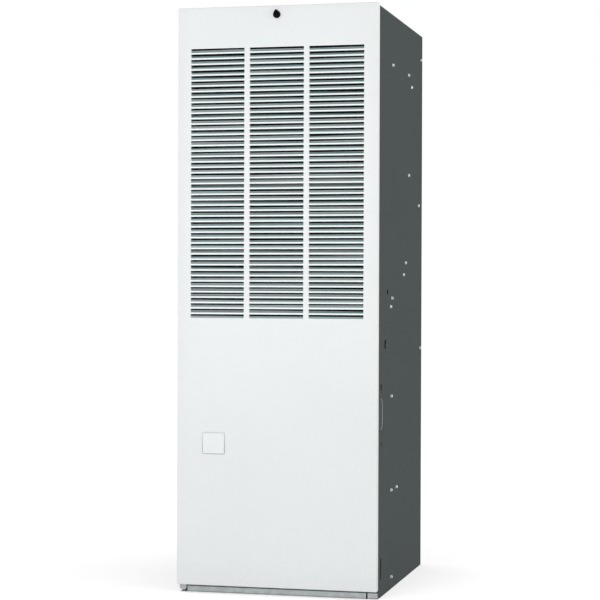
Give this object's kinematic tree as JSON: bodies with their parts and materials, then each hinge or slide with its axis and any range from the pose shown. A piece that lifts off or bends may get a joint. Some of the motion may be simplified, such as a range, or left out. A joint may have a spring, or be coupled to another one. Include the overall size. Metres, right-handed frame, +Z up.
{
  "type": "gas furnace",
  "caption": "Upright downflow gas furnace cabinet with a louvred lift-off door, a quarter-turn door latch, a base outlet for supply air and a concentric vent and air collar on top.",
  "frame": {"origin": "on the floor at the centre of the cabinet's footprint", "axes": "+Z up, +X to the right seen from the front, the louvred door faces -Y"},
  "size_m": [0.4952, 0.6194, 1.443],
  "materials": {
    "door_paint": "smooth white baked enamel",
    "cabinet_paint": "dark grey pre-painted steel, satin",
    "galvanised_steel": "galvanised sheet, dull",
    "aluminised_steel": "aluminised sheet",
    "badge_face": "bare white plate",
    "filter_board": "grey board",
    "filter_media": "dark pleated fibre",
    "latch_plastic": "black gloss",
    "zinc_plate": "zinc plate"
  },
  "bodies": {
    "cabinet": {"back_panel": "cabinet_paint", "badge_plate": "badge_face", "base_pan": "galvanised_steel", "blower_deck": "galvanised_steel", "combustion_air_collar": "galvanised_steel", "division_rail": "galvanised_steel", "door_panel": "door_paint", "header_rail": "galvanised_steel", "heat_exchanger_cell_1": "aluminised_steel", "heat_exchanger_cell_2": "aluminised_steel", "heat_exchanger_cell_3": "aluminised_steel", "heat_exchanger_cell_4": "aluminised_steel", "left_base_bracket": "galvanised_steel", "left_filter_rail": "galvanised_steel", "left_heat_shield": "aluminised_steel", "left_side_panel": "cabinet_paint", "lower_filter_frame": "filter_board", "lower_filter_media": "filter_media", "right_base_bracket": "galvanised_steel", "right_filter_rail": "galvanised_steel", "right_heat_shield": "aluminised_steel", "right_side_panel": "cabinet_paint", "supply_air_collar": "galvanised_steel", "top_panel": "galvanised_steel", "upper_filter_frame": "filter_board", "upper_filter_media": "filter_media", "vent_pipe": "aluminised_steel", "vestibule_panel": "aluminised_steel"},
    "latch": {"latch_cam": "zinc_plate", "latch_knob": "latch_plastic", "latch_spindle": "zinc_plate"}
  },
  "joints": [
    {"name": "door_latch_turn", "type": "hinge", "parent": "cabinet", "child": "latch", "pos_m": [0, -0.3051, 1.4002], "axis": [0, -1, 0], "range_deg": [0, 90]}
  ]
}
